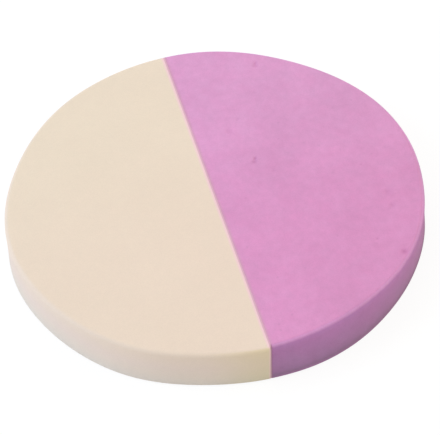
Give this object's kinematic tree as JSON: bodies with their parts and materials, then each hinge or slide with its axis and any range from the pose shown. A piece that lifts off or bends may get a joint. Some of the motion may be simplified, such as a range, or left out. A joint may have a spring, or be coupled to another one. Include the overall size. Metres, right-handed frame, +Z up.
{
  "type": "makeup sponge",
  "caption": "Flat round cosmetic sponge of cream and pink foam, bonded along a straight seam across its middle, for applying and blending make-up.",
  "frame": {"origin": "centre of the flat underside, on the line of the seam", "axes": "+Z up through the thickness to the top face, +Y along the seam, +X from the cream half towards the pink half"},
  "size_m": [0.06, 0.06, 0.0066],
  "materials": {
    "cream_foam": "matte",
    "pink_foam": "matte",
    "dry_adhesive": "matte"
  },
  "bodies": {
    "root": {"cream_foam_half": "cream_foam", "pink_foam_half": "pink_foam", "seam_adhesive": "dry_adhesive"}
  },
  "joints": []
}
